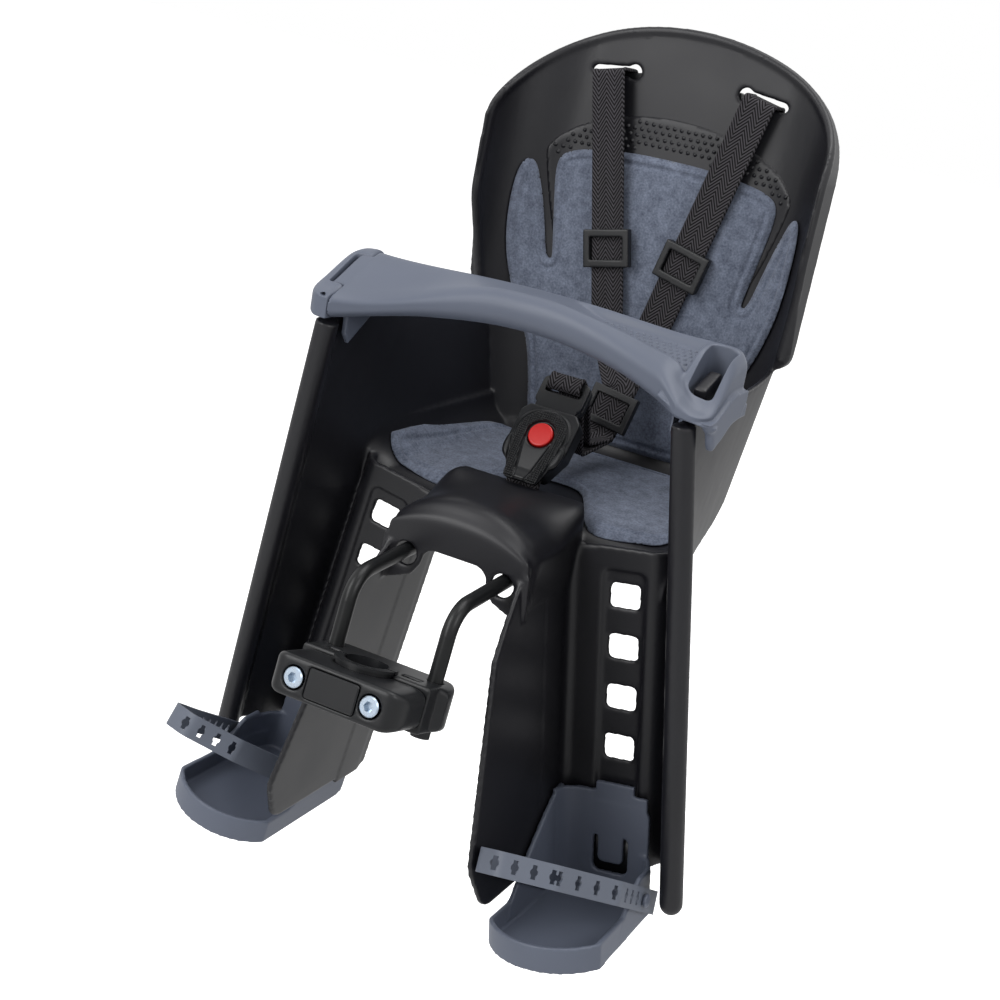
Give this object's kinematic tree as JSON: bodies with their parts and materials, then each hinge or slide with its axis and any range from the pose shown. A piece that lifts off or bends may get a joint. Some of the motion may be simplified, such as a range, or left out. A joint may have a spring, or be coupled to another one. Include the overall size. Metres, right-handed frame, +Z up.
{
  "type": "kids handlebar bike seat",
  "caption": "Front-mounted child bicycle seat with winged back, leg channels, swinging bar, harness, sliding footrests and a stem clamp on a bent steel support bar.",
  "frame": {"origin": "middle of the clamp bore, on the stem axis", "axes": "+Z up with the seat level, the stem axis leaning 14 degrees back from it, +Y to the rear of the bicycle behind the seat back, so the child faces -Y, +X to the left-hand side of the child"},
  "size_m": [0.38, 0.4086, 0.577],
  "materials": {
    "shell_black": "fine-grain matte",
    "pad_grey": "felted foam pad",
    "bar_grey": "satin",
    "steel_black": "black powder coat",
    "plastic_black": "satin",
    "screw_zinc": "zinc plated",
    "webbing": "herringbone webbing",
    "rubber_grey": "matte rubber",
    "button_red": "satin red"
  },
  "bodies": {
    "seat": {"seat_shell": "shell_black", "back_pad": "pad_grey", "seat_pad": "pad_grey", "support_bar": "steel_black", "bar_saddle": "plastic_black", "tube_end_plugs": "plastic_black", "clamp_rear_housing": "plastic_black", "clamp_front_jaw": "plastic_black", "clamp_cover_plate": "plastic_black", "clamp_screws": "screw_zinc", "clamp_nuts": "screw_zinc", "bush_front_half": "plastic_black", "bush_rear_half": "plastic_black", "hinge_cap": "bar_grey", "hinge_pin": "screw_zinc", "left_shoulder_strap": "webbing", "right_shoulder_strap": "webbing", "lower_slider": "plastic_black", "left_strap_keeper": "plastic_black", "right_strap_keeper": "plastic_black", "buckle_body": "plastic_black", "front_tongue": "plastic_black", "rear_tongue": "plastic_black", "crotch_strap": "webbing", "crotch_keeper": "plastic_black"},
    "bar": {"safety_bar": "bar_grey"},
    "left_foot": {"left_footrest": "bar_grey", "left_foot_strap": "rubber_grey"},
    "right_foot": {"right_footrest": "bar_grey", "right_foot_strap": "rubber_grey"},
    "button": {"buckle_button": "button_red"},
    "left_slider": {"left_chest_slider": "plastic_black"},
    "right_slider": {"right_chest_slider": "plastic_black"}
  },
  "joints": [
    {"name": "bar_swing", "type": "hinge", "parent": "seat", "child": "bar", "pos_m": [-0.132, 0.143, 0.2265], "axis": [0, -1, 0], "range_deg": [0, 85]},
    {"name": "left_foot_step", "type": "slide", "parent": "seat", "child": "left_foot", "axis": [0.1633, 0, 0.9866], "range_m": [0, 0.144]},
    {"name": "right_foot_step", "type": "slide", "parent": "seat", "child": "right_foot", "axis": [-0.1633, 0, 0.9866], "range_m": [0, 0.144]},
    {"name": "button_press", "type": "slide", "parent": "seat", "child": "button", "axis": [0, 0.7771, -0.6293], "range_m": [0, 0.0025], "stiffness_N_per_m": 800},
    {"name": "left_slider_run", "type": "slide", "parent": "seat", "child": "left_slider", "axis": [-0.225, 0.068, 0.972], "range_m": [-0.02, 0.06]},
    {"name": "right_slider_run", "type": "slide", "parent": "seat", "child": "right_slider", "axis": [0.225, 0.068, 0.972], "range_m": [-0.02, 0.06]}
  ]
}
